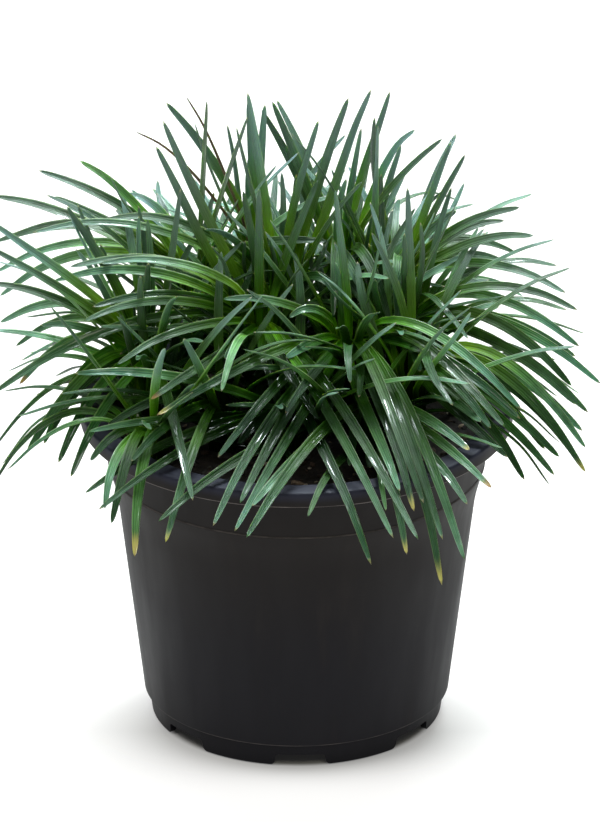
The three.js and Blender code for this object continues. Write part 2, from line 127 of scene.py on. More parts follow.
# How far leaves keep from each other; the heights and radii that keep them off the soil, the rim's top
# and side and the other bunches' cores; and where the soil ends, and the rim begins and stops lifting
LEAF_CLEAR = 0.45
SOIL_CLEAR = SOIL_TOP + 3
RIM_CLEAR = RIM_TOP + 3
SIDE_CLEAR = RIM_RADIUS + 3.5
CORE_CLEAR = CORE_RADIUS + 3
SOIL_END = COLLAR_RADIUS - 2.6
RIM_START = COLLAR_RADIUS - 3.6
LIFT_END = COLLAR_RADIUS + 2.4

TO_VIEWER = np.array([0, -math.cos(VIEW_TILT), math.sin(VIEW_TILT)])
UP = np.array([0, 0, 1.0])

# The bunches. at: plan position; height: where its leaves open, above the soil.
# Each leaf: its tip's place across and up in the view, how far back it lies, and the lift of its arch.
BUNCHES = {
    "tuft_back_left": {"at": (-38, 44), "height": 50, "leaves": [
        (-95, 197, 55, 8), (-80, 200, 46, 9, "fresh"), (-112, 187, 62, 7), (-106, 173, 56, 16),
        (-114, 171, 66, 14), (-112, 159, 70, 18), (-110, 150, 48, 20), (-33, 222, 42, 1, "fresh"),
        (-18, 216, 34, 3), (-53, 185, 62, 2, "olive"), (-64, 188, 52, 12), (-27, 178, 30, 1, "young"),
        (-89, 187, 44, 3), (12, 170, 36, 6),
    ]},
    "tuft_left": {"at": (-54, 10), "height": 32, "leaves": [
        (-84, 183, 14, 4), (-113, 178, 4, 4), (-114, 168, -6, 4), (-113, 155, 4, 8), (-109, 141, 22, 16),
        (-104, 131, 20, 16), (-94, 139, 0, 10), (-99, 93, -16, 14), (-92, 95, 4, 16), (-84, 97, 2, 12),
        (-102, 118, 14, 20, "brown_tip"), (-88, 128, 18, 10, "dry"), (-82, 87, -26, 12),
        (-69, 76, -36, 12), (-36, 73, -84, 8),
    ]},
    "tuft_mid_left": {"at": (-13, 20), "height": 41, "leaves": [
        (-52, 205, 40, 2), (-49, 215, 48, 2), (-71, 162, -6, 14), (-89, 154, 8, 16), (-112, 114, -14, 18),
        (-4, 102, -38, 3), (-75, 146, -6, 10), (-78, 141, -12, 12), (9, 102, -44, 3), (45, 62, -104, 6),
        (25, 45, -105, 8), (35, 62, -103, 6), (-53, 112, -48, 2, "brown_tip"), (-26, 127, -20, 2),
        (-83, 161, 0, 16), (-65, 123, -30, 12),
    ]},
    "tuft_mid_back": {"at": (-5, 38), "height": 41, "leaves": [
        (-97, 173, 12, 22), (-71, 178, 34, 14), (-19, 176, 34, 1, "young"), (-18, 225, 46, 1),
        (8, 216, 40, 1), (28, 226, 50, 9), (19, 223, 44, 7), (24, 192, 26, 8), (-5, 165, 36, 1, "young"),
        (17, 149, 12, 14), (-12, 177, 50, 1, "young"), (-22, 212, 30, 2), (6, 180, 44, 1, "young"),
    ]},
    "tuft_rear": {"at": (-12, 60), "height": 46, "leaves": [
        (-48, 222, 66, 8), (-18, 222, 62, 2), (-12, 221, 66, 2), (-41, 224, 62, 10, "dead"),
        (-60, 211, 64, 14, "dead"),
    ]},
    "tuft_back": {"at": (17, 54), "height": 46, "leaves": [
        (34, 226, 56, 3), (-9, 222, 60, 3), (-13, 219, 68, 6), (44, 212, 62, 15), (39, 206, 54, 3),
        (53, 208, 40, 8), (22, 182, 50, 1, "young_broad"), (26, 147, 16, 20), (13, 142, 8, 24),
        (33, 139, 4, 24),
    ]},
    "tuft_back_right": {"at": (35, 44), "height": 46, "leaves": [
        (23, 168, 34, 2, "young_pale_tip"), (57, 207, 44, 3), (62, 202, 34, 3), (59, 182, 50, 3),
        (82, 183, 28, 8), (77, 178, 50, 10), (87, 172, 20, 8), (69, 172, 66, 8), (81, 167, 66, 12),
        (76, 163, 58, 10), (99, 151, 12, 15), (37, 138, 0, 26),
    ]},
    "tuft_right": {"at": (38, 22), "height": 40, "leaves": [
        (103, 145, 4, 16), (104, 132, 12, 18), (98, 138, 34, 14), (103, 128, 22, 12), (112, 118, 8, 16),
        (101, 117, 0, 20), (107, 107, -6, 16), (103, 110, 6, 14),
    ]},
    "tuft_right_front": {"at": (42, -4), "height": 34, "leaves": [
        (105, 101, -16, 14), (71, 102, -48, 8), (106, 95, -24, 18), (106, 86, -30, 20, "pale_tip"),
        (104, 89, -28, 18, "pale_tip"), (96, 91, -30, 14), (91, 94, -22, 12), (93, 83, -36, 12),
        (82, 82, -46, 12), (74, 89, -42, 6),
    ]},
    "tuft_centre": {"at": (19, 14), "height": 37, "leaves": [
        (82, 105, -34, 14, "damp"), (76, 102, -48, 16, "damp"), (82, 109, -38, 18),
        (32, 101, -42, 2, "wet"), (29, 103, -38, 2), (-4, 128, -26, 2), (-4, 107, -48, 3),
        (-3, 142, 0, 10), (-27, 149, 0, 8), (7, 100, -44, 3), (62, 54, -98, 12), (53, 62, -98, 12),
        (46, 75, -88, 12), (51, 43, -105, 14, "yellow_tip"), (42, 71, -88, 9, "yellow_tip"),
        (36, 78, -84, 7), (-31, 66, -97, 6), (-22, 64, -99, 6), (-20, 74, -88, 6), (-29, 91, -64, 3),
        (-51, 107, -50, 7, "yellow_tip"),
    ]},
    "tuft_front_right": {"at": (26, -16), "height": 22, "leaves": [
        (27, 87, -58, 5), (19, 88, -56, 5), (61, 74, -82, 7), (63, 94, -64, 5, "yellow_tip"),
        (71, 80, -74, 6, "brown_tip"), (40, 55, -103, 12, "yellow_tip"), (-50, 65, -92, 8),
        (-19, 61, -100, 9), (-15, 72, -86, 6),
    ]},
    "tuft_front": {"at": (-2, -16), "height": 19, "leaves": [
        (-81, 122, -34, 7), (-72, 72, -78, 9), (-78, 77, -66, 8), (-76, 98, -42, 4), (17, 82, -62, 5),
        (-21, 96, -48, 6),
    ]},
    "tuft_front_left": {"at": (-27, -12), "height": 22, "leaves": [
        (-48, 59, -96, 13, "pale_tip"), (-69, 103, -34, 6), (-60, 88, -60, 8),
    ]},
    "tuft_left_front": {"at": (-52, -22), "height": 14, "leaves": [
        (-58, 55, -88, 15, "yellowing"), (-68, 67, -80, 12), (-68, 71, -76, 10), (-74, 89, -48, 6),
    ]},
}

# How a leaf looks: fresh is bright yellow-green, tip and tip_brown are the length and the brownness
# of a faded end, wet is its gloss, and wide scales its width.
PLAIN_LOOK = {"fresh": 0.0, "tip": 0.0, "tip_brown": 0.0, "dead": 0.0, "wet": 0.0, "wide": 1.0}
LOOKS = {
    "young": {"fresh": 1.0, "wide": 0.95},
    "fresh": {"fresh": 0.7},
    "greener": {"fresh": 0.25},
    "young_broad": {"fresh": 0.9, "wide": 1.25},
    "young_pale_tip": {"fresh": 1.0, "tip": 0.06, "wide": 0.95},
    "yellow_tip": {"tip": 0.05, "tip_brown": 0.25},
    "brown_tip": {"tip": 0.06, "tip_brown": 0.8},
    "pale_tip": {"tip": 0.04, "tip_brown": 0.1},
    "yellowing": {"fresh": 0.3, "tip": 0.10, "tip_brown": 0.2},
    "olive": {"fresh": 0.6, "tip": 0.1, "tip_brown": 0.6},
    "dead": {"dead": 1.0, "wide": 0.3},
    "dry": {"dead": 0.7, "wide": 0.4},
    "wet": {"wet": 1.0, "wide": 1.15},
    "damp": {"wet": 0.6},
}

# Inner leaves, which start low on the core and fill each bunch from below
INNER_SEED = 23
INNER_LEAVES = 18
INNER_FRONT = 6
INNER_WIDTH = (3.2, 4.2)
INNER_LENGTH = (46, 80)
INNER_RISE = (86, 6)
INNER_RISE_FRONT = (58, 2)
INNER_START = (0.1, 0.65)
INNER_GREENER = 0.25
INNER_BENDS = 24

# How far the middle lines go towards plain arcs, tried in turn, how far above the rim and the soil
# they should stay, and how much deeper an arc may dip
EASE = (0.3, 0.6, 0.85)
EASE_CLEAR = 2
EASE_DIP = 0.3

# The painted shade between the sheaths: how high above the soil it goes, its radius, and its soft edge
DARK_HEIGHT = 42
DARK_RADIUS = 66
DARK_EDGE = 18

# Shade in the clump, painted into the leaves' colour: patches on each leaf that cast it, the way the light
# comes, and how much darker a blade is where it hangs down
SHADE_PATCHES = 10
SHADE_WHERE_HANGING = 0.65
SHADE_SOFTNESS = 3.0
SHADE_STRENGTH = 0.8
LIGHT_FROM = np.array([0, 0.5, 0.866])

# The fine strap
TOP_POINTS = 11
UNDER_POINTS = 5
RING = TOP_POINTS + UNDER_POINTS
LEAF_RINGS = 27
LEAF_THICKNESS = 0.32
LEAF_FOLD = (46, 24)
RIB_HEIGHT = 0.035
SHEATH_RADIUS = 4.4
LEAF_VALUES = ("tone", "upright", "fresh", "tip", "tip_brown", "dead", "wet")

# The strap's section: how far across its points lie, and how far the ribs and the underside stand out
ACROSS = np.concatenate([np.linspace(-1, 1, TOP_POINTS), np.linspace(0.8, -0.8, UNDER_POINTS)])
RIBS = np.full(RING, -LEAF_THICKNESS)
RIBS[:TOP_POINTS] = RIB_HEIGHT * np.cos(np.pi * np.arange(TOP_POINTS))
RIBS[[0, TOP_POINTS - 1]] = 0


def random_from(seed):
    """A generator of even random numbers from 0 to 1, the same for every run."""
    mask = 0xFFFFFFFF
    state = seed

    def following():
        nonlocal state
        state = (state + 0x6D2B79F5) & mask
        mixed = ((state ^ (state >> 15)) * (1 | state)) & mask
        mixed = ((mixed + (mixed ^ (mixed >> 7)) * (61 | mixed)) & mask) ^ mixed
        return (mixed ^ (mixed >> 14)) / 2**32

    return following


def mix(low, high, share):
    return low + (high - low) * share


def unit(vectors):
    return vectors / np.linalg.norm(vectors, axis=-1, keepdims=True)


def dot(a, b):
    return np.sum(a * b, axis=-1)


class Leaves:
    """Leaves as arrays: the points of each middle line from the bunch's core to the tip, and its strap."""

    FIELDS = ("bunch", "heading", "points", "width", "facing", "roll")

    def __init__(self):
        self.look = []
        for field in self.FIELDS:
            setattr(self, field, [])

    def keep_as(self, kind):
        """Turns the values into arrays, or into lists that can grow."""
        for field in self.FIELDS:
            setattr(self, field, kind(getattr(self, field)))

    def add(self, name, tip, lift, start, width, facing=0.0, roll=0.0, look=None):
        at, height = BUNCHES[name]["at"], BUNCHES[name]["height"]
        heading = unit(np.array([tip[0] - at[0], tip[1] - at[1], 0.0]))
        root = np.array([*at, SOIL_TOP + height * start]) + 2 * heading
        controls = [root, mix(root, tip, 0.25) + lift * UP, mix(root, tip, 0.65) + lift * UP, tip]
        line = sum(share * control for share, control in zip(ARC, controls))
        values = (list(BUNCHES).index(name), heading, line, width, facing, roll)
        for field, value in zip(self.FIELDS, values):
            getattr(self, field).append(value)
        self.look.append({**PLAIN_LOOK, **(LOOKS[look] if look else {})})

    def grow(self, name, turn, rise, length, start, lift, width, roll, look=None):
        """Adds a leaf by the angles, in plan and from level, at which its tip lies."""
        bunch = BUNCHES[name]
        high = SOIL_TOP + bunch["height"] * start + length * math.sin(rise)
        heading = np.array([math.cos(turn), math.sin(turn), 0])
        tip = np.array([*bunch["at"], high]) + heading * length * math.cos(rise)
        self.add(name, tip, lift, start, width, roll=roll, look=look)


def lay_out_leaves():
    """The leaves that show, and then the others that fill the bunches."""
    random = random_from(FILL_SEED)
    leaves = Leaves()
    for name, bunch in BUNCHES.items():
        for across, up, back, lift, *look in bunch["leaves"]:
            height = (up - back * math.sin(VIEW_TILT)) / math.cos(VIEW_TILT)
            tip = np.array([across, back, height], float)
            width = mix(*LEAF_WIDTH, random())
            leaves.add(name, tip, lift, FILL_START[0], width, facing=0.6, look=look[0] if look else None)
    for name, bunch in BUNCHES.items():
        x, y = bunch["at"]
        low = 0.35 * (1 - bunch["height"] / HIGHEST)
        for k in range(FILL_LEAVES):
            turn = mix(*FILL_TURN, (k + random()) / FILL_LEAVES)
            outward = (math.cos(turn) * x + math.sin(turn) * (y - MID_Y)) / 60
            lean = min(max(mix(0.1, 0.85, random()) + 0.25 * outward + low, 0), 1)
            rise = math.radians(mix(*FILL_RISE, lean))
            length = mix(*FILL_LENGTH, random())
            lift = LEAST_LIFT + lean * mix(*FILL_LIFT, random())
            width = mix(*FILL_WIDTH, random())
            leaves.grow(name, turn, rise, length, mix(*FILL_START, lean), lift, width, mix(*ROLL, random()))
    return leaves


def add_inner_leaves(leaves):
    """Lower leaves that start near the soil, more of them on the outer side of the clump."""
    random = random_from(INNER_SEED)
    for name, bunch in BUNCHES.items():
        x, y = bunch["at"]
        count, rises = (INNER_FRONT, INNER_RISE_FRONT) if y < MID_Y else (INNER_LEAVES, INNER_RISE)
        for _ in range(count):
            turn = math.atan2(y - MID_Y, x) + math.pi * (2 * random() - 1) * random() ** 0.4
            lean = random()
            rise = math.radians(mix(*rises, lean))
            length = mix(*INNER_LENGTH, random())
            start = mix(*INNER_START, random())
            lift = LEAST_LIFT + lean * mix(*FILL_LIFT, random())
            width = mix(*INNER_WIDTH, random())
            look = "greener" if random() < INNER_GREENER else None
            leaves.grow(name, turn, rise, length, start, lift, width, mix(*ROLL, random()), look)


def side_and_normal(along, heading):
    """Directions across a strap and out of it, by its direction along and its heading in plan."""
    level = np.cross(UP, heading)
    side = unit(level - along * dot(level, along)[..., None])
    return side, np.cross(along, side)


def strap_frames(leaves):
    """The across direction of the strap at each point, and its roll from level."""
    padded = np.pad(leaves.points, ((0, 0), (1, 1), (0, 0)), "edge")
    along = unit(padded[:, 2:] - padded[:, :-2])
    side, normal = side_and_normal(along, leaves.heading[:, None])
    flip = np.where(normal[..., 2] < 0, -1.0, 1.0)
    normal = normal * flip[..., None]
    to_viewer = np.arctan2(side @ TO_VIEWER, normal @ TO_VIEWER)
    roll = np.clip(leaves.facing[:, None] * to_viewer, -0.7, 0.7) + leaves.roll[:, None]
    turned = side * np.cos(roll)[..., None] - normal * np.sin(roll)[..., None]
    return turned, roll * flip


def closest_shares(p, d, q, e):
    """Shares along the straight pieces from p by d and from q by e, where they are closest."""
    between = p - q
    dd, ee, de = dot(d, d), dot(e, e), dot(d, e)
    db, eb = dot(d, between), dot(e, between)
    spread = dd * ee - de * de
    level = np.where(spread > 1e-9, spread, 1)
    u = np.where(spread > 1e-9, np.clip((de * eb - db * ee) / level, 0, 1), 0.5)
    v = (de * u + eb) / ee
    u = np.where(v < 0, np.clip(-db / dd, 0, 1), np.where(v > 1, np.clip((de - db) / dd, 0, 1), u))
    return u, np.clip(v, 0, 1)


def part_leaves(leaves, moving, pushes):
    """Adds the pushes that part the pieces of leaves which lie too close."""
    count = len(leaves.points)
    starts = leaves.points[:, :-1].reshape(-1, 3)
    runs = np.diff(leaves.points, axis=1).reshape(-1, 3)
    middles = starts + runs / 2
    reach = np.linalg.norm(runs, axis=1) / 2
    leaf = np.repeat(np.arange(count), LAST)
    piece = np.tile(np.arange(LAST), count)
    bunch = leaves.bunch[leaf]
    squares = dot(middles, middles)
    near = squares[:, None] + squares - 2 * middles @ middles.T < (reach[:, None] + reach + REACH) ** 2
    near &= leaf[:, None] < leaf
    near &= moving[leaf][:, None] | moving[leaf]
    near &= (bunch[:, None] != bunch) | ((piece[:, None] > 0) & (piece > 0))
    a, b = np.nonzero(near)
    u, v = closest_shares(starts[a], runs[a], starts[b], runs[b])
    apart = starts[a] + runs[a] * u[:, None] - starts[b] - runs[b] * v[:, None]
    distance = np.linalg.norm(apart, axis=1)
    crossed = np.cross(runs[a], runs[b])
    crossed *= np.where(crossed[:, 2:] < 0, -1, 1)
    apart = unit(np.where(distance[:, None] < 0.05, crossed, apart))
    side, _ = strap_frames(leaves)
    spans = []
    for chosen, share in ((a, u), (b, v)):
        i = piece[chosen]
        width = leaves.width[leaf[chosen]] * mix(WIDTHS[i], WIDTHS[i + 1], share)
        spans.append(width * np.abs(dot(apart, side[leaf[chosen], np.where(share > 0.5, i + 1, i)])))
    short = KEEL + LEAF_CLEAR + (spans[0] + spans[1]) / 2 - distance
    strength = np.where(bunch[a] == bunch[b], 0.25, 0.45)
    push = apart * (np.maximum(short, 0) * strength)[:, None]
    for chosen, share, sign in ((a, u, 1), (b, v, -1)):
        np.add.at(pushes, (leaf[chosen], piece[chosen]), sign * push * (1 - share)[:, None])
        np.add.at(pushes, (leaf[chosen], piece[chosen] + 1), sign * push * share[:, None])


def keep_off(leaves, pushes):
    """Adds the pushes that keep leaves off the soil, the pot's rim and the other bunches' cores."""
    for i in range(1, LAST):
        for share in QUARTERS:
            point = mix(leaves.points[:, i], leaves.points[:, i + 1], share)
            radius = np.hypot(point[:, 0], point[:, 1])
            high = point[:, 2]
            push = np.zeros_like(point)
            push[:, 2] += np.where((high < SOIL_CLEAR) & (radius < SOIL_END), SOIL_CLEAR - high, 0)
            at_rim = (radius > RIM_START) & (radius < SIDE_CLEAR) & (high < RIM_CLEAR)
            over = (RIM_CLEAR - high < SIDE_CLEAR - radius) | (radius < LIFT_END)
            push[:, 2] += np.where(at_rim & over, RIM_CLEAR - high, 0)
            outward = point * [1, 1, 0] / np.maximum(radius, 1e-6)[:, None]
            push += outward * np.where(at_rim & ~over, SIDE_CLEAR - radius, 0)[:, None]
            for number, bunch in enumerate(BUNCHES.values()):
                away = (point - [*bunch["at"], 0]) * [1, 1, 0]
                length = np.linalg.norm(away, axis=1)
                short = CORE_CLEAR - length
                hits = (leaves.bunch != number) & (short > 0) & (high < SOIL_TOP + bunch["height"] + 2)
                push += away / np.maximum(length, 1e-6)[:, None] * np.where(hits, short, 0)[:, None]
            pushes[:, i] += push * (1 - share)
            pushes[:, i + 1] += push * share


def bends_of(points):
    """How far each middle line turns at each of its points."""
    bends = np.zeros_like(points)
    bends[:, 1:-1] = points[:, :-2] + points[:, 2:] - 2 * points[:, 1:-1]
    return bends


def bend_clear(leaves, moving, steps):
    """Bends the leaves a little at a time, until they lie clear of each other."""
    grown = bends_of(leaves.points)
    for _ in range(steps):
        pushes = np.zeros_like(leaves.points)
        part_leaves(leaves, moving, pushes)
        keep_off(leaves, pushes)
        excess = STIFFNESS * (bends_of(leaves.points) - grown)
        pushes += excess
        pushes[:, :-1] -= excess[:, 1:] / 2
        pushes[:, 1:] -= excess[:, :-1] / 2
        length = np.linalg.norm(pushes, axis=-1, keepdims=True)
        pushes *= np.minimum(1, BEND_STEP / np.maximum(length, 1e-9)) * HOLD[:, None]
        pushes[~moving] = 0
        leaves.points = np.clip(leaves.points + pushes, -SPREAD, SPREAD)


def dip(lines):
    """How far each middle line dips into the air that it should leave above the rim and the soil."""
    deepest = np.zeros(len(lines))
    for i in range(LAST):
        for share in QUARTERS:
            place = mix(lines[:, i], lines[:, i + 1], share)
            radius = np.hypot(place[:, 0], place[:, 1])
            inside = radius < RIM_RADIUS + EASE_CLEAR
            level = np.where((radius > COLLAR_RADIUS - 3) & inside, RIM_TOP, SOIL_TOP) + EASE_CLEAR
            deepest = np.maximum(deepest, np.where(inside, level - place[:, 2], 0))
    return deepest


def eased(points):
    """The middle lines drawn nearer to plain arcs, as far as they stay clear of the rim and the soil."""
    arms = np.hstack(ARC[1:3])
    plain = []
    for line in points:
        bare = line - ARC[0] * line[0] - ARC[3] * line[-1]
        handles = np.linalg.lstsq(arms, bare, rcond=None)[0]
        plain.append(line - bare + arms @ handles)
    before = dip(points)
    best = points.copy()
    for share in EASE:
        trial = mix(points, np.array(plain), share)
        clear = dip(trial) - before < EASE_DIP
        best[clear] = trial[clear]
    return best


def smooth_path(controls, knots, where):
    """Points on a smooth curve through the controls, which lie at the knots along it."""
    slopes = np.gradient(controls, knots, axis=0)
    i = np.clip(np.searchsorted(knots, where, side="right") - 1, 0, len(knots) - 2)
    span = knots[i + 1] - knots[i]
    t = ((where - knots[i]) / span)[:, None]
    span = span[:, None]
    return ((2 * t**3 - 3 * t**2 + 1) * controls[i] + (t**3 - 2 * t**2 + t) * span * slopes[i]
            + (3 * t**2 - 2 * t**3) * controls[i + 1] + (t**3 - t**2) * span * slopes[i + 1])


def strap_width(shares):
    """Share of the full width along the blade: narrow at the sheath, and bluntly pointed at the tip."""
    neck = mix(0.62, 1, np.clip(shares / 0.35, 0, 1) ** 0.8)
    taper = 1 - 0.6 * np.clip((shares - 0.45) / 0.55, 0, 1) ** 1.8
    end = np.clip((shares - 0.93) / 0.07, 0, 1)
    return neck * taper * np.sqrt(np.maximum(1 - end**2, 0))


def leaf_rings(points, heading, width, rolls, at, wave):
    """The rings of points round one fine strap, from the soil to the tip, and the shares along it."""
    root = points[0]
    radius = SHEATH_RADIUS
    foot = np.array([*at, SOIL_TOP - 3.0]) + heading * (radius - 1)
    waist = np.array([*at, mix(SOIL_TOP, root[2], 0.6)]) + heading * radius
    neck = root + heading * (radius - 2)
    controls = np.array([foot, waist, neck, *points[1:]])
    lengths = np.concatenate([[0], np.cumsum(np.linalg.norm(np.diff(controls, axis=0), axis=1))])
    shares = 1 - (1 - np.linspace(0, 1, LEAF_RINGS)) ** 1.3
    where = shares * lengths[-1]
    path = smooth_path(controls, lengths, where)
    side, normal = side_and_normal(unit(np.gradient(path, axis=0)), heading)
    roll_at = np.interp(where, lengths, np.concatenate([[0, 0], rolls]))
    roll_at = roll_at + wave[0] * np.sin(wave[1] + shares * 5)
    turned = side * np.cos(roll_at)[:, None] - normal * np.sin(roll_at)[:, None]
    raised = normal * np.cos(roll_at)[:, None] + side * np.sin(roll_at)[:, None]

    blade = np.clip((where - lengths[2]) / (lengths[-1] - lengths[2]), 0, 1)
    half = width / 2 * strap_width(blade)
    fold = np.radians(mix(*LEAF_FOLD, np.clip(blade / 0.4, 0, 1) ** 0.5)) * (1 - 0.3 * blade)
    slim = np.clip(half / (0.3 * width), 0, 1)
    rise = (np.abs(ACROSS) ** 1.5 - 1) * (half * np.sin(fold))[:, None] + RIBS * slim[:, None]
    reach = ACROSS * (half * np.cos(fold * 0.7))[:, None]
    rings = path[:, None] + turned[:, None] * reach[..., None] + raised[:, None] * rise[..., None]
    return rings, blade


def depth_in_clump(places):
    """How deep down in the clump places are, for the shade painted on the leaves there: 0 in the open, 1
    between the sheaths at the soil.
    """
    low = np.clip(1 - (places[:, 2] - SOIL_TOP) / DARK_HEIGHT, 0, 1)
    inside = np.clip((DARK_RADIUS - np.hypot(places[:, 0], places[:, 1])) / DARK_EDGE, 0, 1)
    return low * inside


def leaf_patches(leaves):
    """Small patches along all the leaves: their places and their areas."""
    shares = (np.arange(SHADE_PATCHES) + 0.5) / SHADE_PATCHES * LAST
    i = shares.astype(int)
    part = shares - i
    places = mix(leaves.points[:, i], leaves.points[:, i + 1], part[:, None])
    lengths = np.linalg.norm(leaves.points[:, i + 1] - leaves.points[:, i], axis=-1) * LAST / SHADE_PATCHES
    return places, lengths * leaves.width[:, None] * mix(WIDTHS[i], WIDTHS[i + 1], part)


def shade_at(places, patches, areas):
    """How much of the light from above the patches keep from each place: 0 in the open, 1 in the dark."""
    away = patches[None] - places[:, None]
    squares = dot(away, away) + SHADE_SOFTNESS**2
    rise = np.maximum(away @ LIGHT_FROM, 0) / np.sqrt(squares)
    return 1 - np.exp(-SHADE_STRENGTH * np.sum(areas * rise / squares, axis=1) / math.pi)


def strap_faces(first):
    """The faces of a strap whose points start at this number: round its rings, its tip and its foot."""
    last = first + (LEAF_RINGS - 2) * RING
    pairs = [(j, (j + 1) % RING) for j in range(RING)]
    faces = [(row + j, row + k, row + RING + k, row + RING + j)
             for row in range(first, last, RING) for j, k in pairs]
    faces += [(last + j, last + k, last + RING) for j, k in pairs]
    return faces + [range(first + RING - 1, first - 1, -1)]


def bunch_mesh(name, leaves, random):
    """One mesh of all the straps of a bunch, with what its material needs at each point."""
    _, rolls = strap_frames(leaves)
    patches, areas = leaf_patches(leaves)
    places, faces = [], []
    values = {key: [] for key in ("along", "across", "deep", "shade", *LEAF_VALUES)}
    for n in np.nonzero(leaves.bunch == list(BUNCHES).index(name))[0]:
        look = leaves.look[n]
        wave = (0.1 * random(), 6.3 * random())
        width = leaves.width[n] * look["wide"]
        at = BUNCHES[name]["at"]
        rings, blade = leaf_rings(leaves.points[n], leaves.heading[n], width, rolls[n], at, wave)
        faces += strap_faces(sum(len(part) for part in places))
        places.append(np.concatenate([rings[:-1].reshape(-1, 3), rings[-1].mean(0)[None]]))
        values["along"].append(np.append(np.repeat(blade[:-1], RING), 1))
        values["across"].append(np.append(np.tile(ACROSS, LEAF_RINGS - 1), 0))
        values["deep"].append(depth_in_clump(places[-1]))
        # The shade that is painted into the leaf's colour: cast by the other leaves' patches, and more where
        # the blade hangs down
        others = np.arange(len(areas)) != n
        middles = rings.mean(axis=1)
        shade = shade_at(middles, patches[others].reshape(-1, 3), areas[others].ravel())
        hanging = np.maximum(-unit(np.gradient(middles, axis=0))[:, 2], 0)
        shade = 1 - (1 - shade) * (1 - SHADE_WHERE_HANGING * hanging)
        values["shade"].append(np.append(np.repeat(shade[:-1], RING), shade[-1]))
        reach = leaves.points[n, -1] - leaves.points[n, 0]
        whole = {**look, "tone": random(), "upright": max(reach[2] / np.linalg.norm(reach), 0)}
        for key in LEAF_VALUES:
            values[key].append(np.full(len(places[-1]), whole[key]))
    mesh = new_mesh(name + "_leaves", np.concatenate(places) * MM, faces)
    for key, parts in values.items():
        layer = mesh.attributes.new(key, "FLOAT", "POINT")
        layer.data.foreach_set("value", np.concatenate(parts).astype(np.float32))
    mesh.shade_smooth()
    return mesh


# Materials

class Nodes:
    """Short calls for building a material's node tree."""

    def __init__(self, name):
        self.material = bpy.data.materials.new(name)
        self.material.use_nodes = True
        self.tree = self.material.node_tree
        self.shader = self.tree.nodes["Principled BSDF"]

    def put(self, inputs, node):
        """Sets a node's inputs, given by name or number, or links them."""
        for key, value in inputs.items():
            socket = node.inputs[key]
            if isinstance(value, bpy.types.NodeSocket):
                self.tree.links.new(value, socket)
            elif isinstance(value, tuple):
                socket.default_value = (*value, 1)[:len(socket.default_value)]
            else:
                socket.default_value = value

    def add(self, kind, inputs, output=0, **settings):
        """Adds a node, and gives its output."""
        node = self.tree.nodes.new(kind)
        for key, value in settings.items():
            setattr(node, key, value)
        self.put(inputs, node)
        return node.outputs[output]

    def finish(self, inputs):
        self.put(inputs, self.shader)
        return self.material

    def attribute(self, name):
        return self.add("ShaderNodeAttribute", {}, "Fac", attribute_name=name)

    def math(self, operation, *values):
        return self.add("ShaderNodeMath", dict(enumerate(values)), operation=operation)

    def times(self, a, b):
        return self.math("MULTIPLY", a, b)

    def range(self, value, low, high, to_low=0.0, to_high=1.0, kind="SMOOTHSTEP"):
        inputs = dict(enumerate((value, low, high, to_low, to_high)))
        return self.add("ShaderNodeMapRange", inputs, interpolation_type=kind)

    def mix(self, share, a, b, blend="MIX"):
        inputs = {"Factor": share, 6: a, 7: b}
        return self.add("ShaderNodeMix", inputs, 2, data_type="RGBA", blend_type=blend)

    def ramp(self, value, stops):
        colour = self.add("ShaderNodeValToRGB", {0: value})
        elements = colour.node.color_ramp.elements
        while len(elements) < len(stops):
            elements.new(0.5)
        for element, (place, shade) in zip(elements, stops):
            element.position = place
            element.color = (*shade, 1)
        return colour

    def noise(self, vector, scale, detail=3.0, roughness=0.5):
        inputs = {"Vector": vector, "Scale": scale, "Detail": detail, "Roughness": roughness}
        return self.add("ShaderNodeTexNoise", inputs, "Fac")

    def strokes(self, *scaled, detail=2.0, roughness=0.5):
        """Noise over three values, each with its own scale."""
        scaled = dict(enumerate(self.times(value, scale) for value, scale in scaled))
        return self.noise(self.add("ShaderNodeCombineXYZ", scaled), 1.0, detail, roughness)

    def bump(self, height, strength, distance, over=None):
        inputs = {"Height": height, "Strength": strength, "Distance": distance}
        return self.add("ShaderNodeBump", {**inputs, "Normal": over} if over else inputs, "Normal")

    def place(self):
        return self.add("ShaderNodeTexCoord", {}, "Object")

    def axis(self, place, name):
        """One of a place's coordinates, in millimetres."""
        return self.times(self.add("ShaderNodeSeparateXYZ", {0: place}, name), 1 / MM)


# A leaf's colour from its base to its tip: grown, young, and upright at the top of the clump with painted
# light
GROWN = (
    (0.0, (0.30, 0.40, 0.03)), (0.08, (0.165, 0.34, 0.004)), (0.30, (0.068, 0.205, 0.003)),
    (0.52, (0.026, 0.112, 0.010)), (0.75, (0.026, 0.104, 0.033)), (1.0, (0.028, 0.104, 0.042)),
)
YOUNG = (
    (0.0, (0.34, 0.45, 0.12)), (0.15, (0.15, 0.36, 0.02)), (0.6, (0.085, 0.28, 0.015)),
    (1.0, (0.10, 0.28, 0.03)),
)
UPPER = (
    (0.0, (0.25, 0.42, 0.010)), (0.25, (0.135, 0.32, 0.004)), (0.45, (0.075, 0.195, 0.020)),
    (0.7, (0.090, 0.185, 0.115)), (1.0, (0.105, 0.200, 0.140)),
)

# Painted light and shade, as gains of a leaf's colour. In the open and among others: where it arches,
# and where it is upright. In the dark: at its base, and further along. Bloom: of the dullest leaf, and of the
# palest.
IN_OPEN = ((2.5, 1.75, 3.1), (1.6, 1.4, 1.85))
AMONG_OTHERS = ((2.35, 1.6, 2.5), (1.3, 1.15, 1.1))
IN_DARK = ((0.55, 0.85, 0.10), (0.37, 0.44, 0.13))
BLOOM = ((0.56, 0.60, 0.52), (1.9, 1.8, 2.2))


